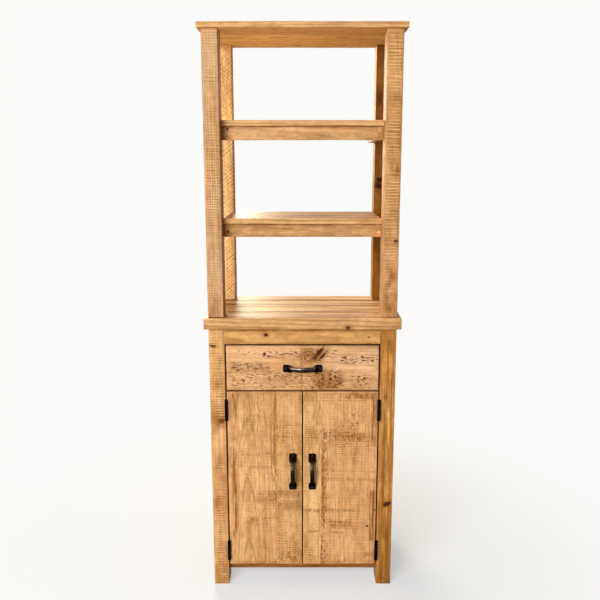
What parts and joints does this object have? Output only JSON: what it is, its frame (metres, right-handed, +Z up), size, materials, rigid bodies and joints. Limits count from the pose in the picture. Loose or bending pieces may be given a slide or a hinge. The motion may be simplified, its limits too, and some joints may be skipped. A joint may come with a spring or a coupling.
{
  "type": "tall bathroom cabinet",
  "caption": "Tall free-standing bathroom cabinet in rough-sawn waxed pine: open shelves on posts over a planked worktop, with a drawer and hinged doors that carry black iron bow handles.",
  "frame": {"origin": "on the floor, under the middle of the whole outline, handles included", "axes": "+Z up, the front with the drawer and doors faces -Y, +X to the right seen from the front"},
  "size_m": [0.626, 0.395, 1.821],
  "materials": {
    "frame_timber": "rough-sawn, honey wax",
    "board_timber": "rough-sawn, honey wax, paler",
    "carcass_timber": "sawn, waxed, in shade",
    "black_iron": "black, satin, hammered",
    "zinc_steel": "zinc plated",
    "catch_body": "brown, matt"
  },
  "bodies": {
    "cabinet": {"apron_rail": "frame_timber", "back_panel": "carcass_timber", "bottom_rail": "carcass_timber", "door_catch": "catch_body", "drawer_runner_left": "carcass_timber", "drawer_runner_right": "carcass_timber", "floor_board": "carcass_timber", "left_hinge_bottom_leg_leaf": "black_iron", "left_hinge_bottom_pin": "black_iron", "left_hinge_top_leg_leaf": "black_iron", "left_hinge_top_pin": "black_iron", "leg_front_left": "frame_timber", "leg_front_right": "frame_timber", "leg_rear_left": "frame_timber", "leg_rear_right": "frame_timber", "middle_rail": "carcass_timber", "post_front_left": "frame_timber", "post_front_right": "frame_timber", "post_rear_left": "frame_timber", "post_rear_right": "frame_timber", "right_hinge_bottom_leg_leaf": "black_iron", "right_hinge_bottom_pin": "black_iron", "right_hinge_top_leg_leaf": "black_iron", "right_hinge_top_pin": "black_iron", "shelf_bearer_lower_left": "frame_timber", "shelf_bearer_lower_right": "frame_timber", "shelf_bearer_upper_left": "frame_timber", "shelf_bearer_upper_right": "frame_timber", "shelf_lower": "board_timber", "shelf_rail_lower": "frame_timber", "shelf_rail_upper": "frame_timber", "shelf_upper": "board_timber", "side_panel_left": "carcass_timber", "side_panel_right": "carcass_timber", "top_board": "board_timber", "worktop_plank_1": "board_timber", "worktop_plank_2": "board_timber", "worktop_plank_3": "board_timber", "worktop_plank_4": "board_timber"},
    "drawer": {"drawer_back": "carcass_timber", "drawer_bottom": "carcass_timber", "drawer_front": "board_timber", "drawer_handle": "black_iron", "drawer_side_left": "carcass_timber", "drawer_side_right": "carcass_timber"},
    "left_door": {"left_door_handle": "black_iron", "left_door_ledge_bottom": "carcass_timber", "left_door_ledge_top": "carcass_timber", "left_door_panel": "board_timber", "left_door_strike_plate": "zinc_steel", "left_hinge_bottom_door_leaf": "black_iron", "left_hinge_top_door_leaf": "black_iron"},
    "right_door": {"right_door_handle": "black_iron", "right_door_ledge_bottom": "carcass_timber", "right_door_ledge_top": "carcass_timber", "right_door_panel": "board_timber", "right_door_strike_plate": "zinc_steel", "right_hinge_bottom_door_leaf": "black_iron", "right_hinge_top_door_leaf": "black_iron"}
  },
  "joints": [
    {"name": "left_door_hinge", "type": "hinge", "parent": "cabinet", "child": "left_door", "pos_m": [-0.2476, -0.1733, 0.382], "axis": [0, 0, -1], "range_deg": [0, 170]},
    {"name": "right_door_hinge", "type": "hinge", "parent": "cabinet", "child": "right_door", "pos_m": [0.2476, -0.1733, 0.382], "axis": [0, 0, 1], "range_deg": [0, 170]},
    {"name": "drawer_slide", "type": "slide", "parent": "cabinet", "child": "drawer", "axis": [0, -1, 0], "range_m": [0, 0.22]}
  ]
}
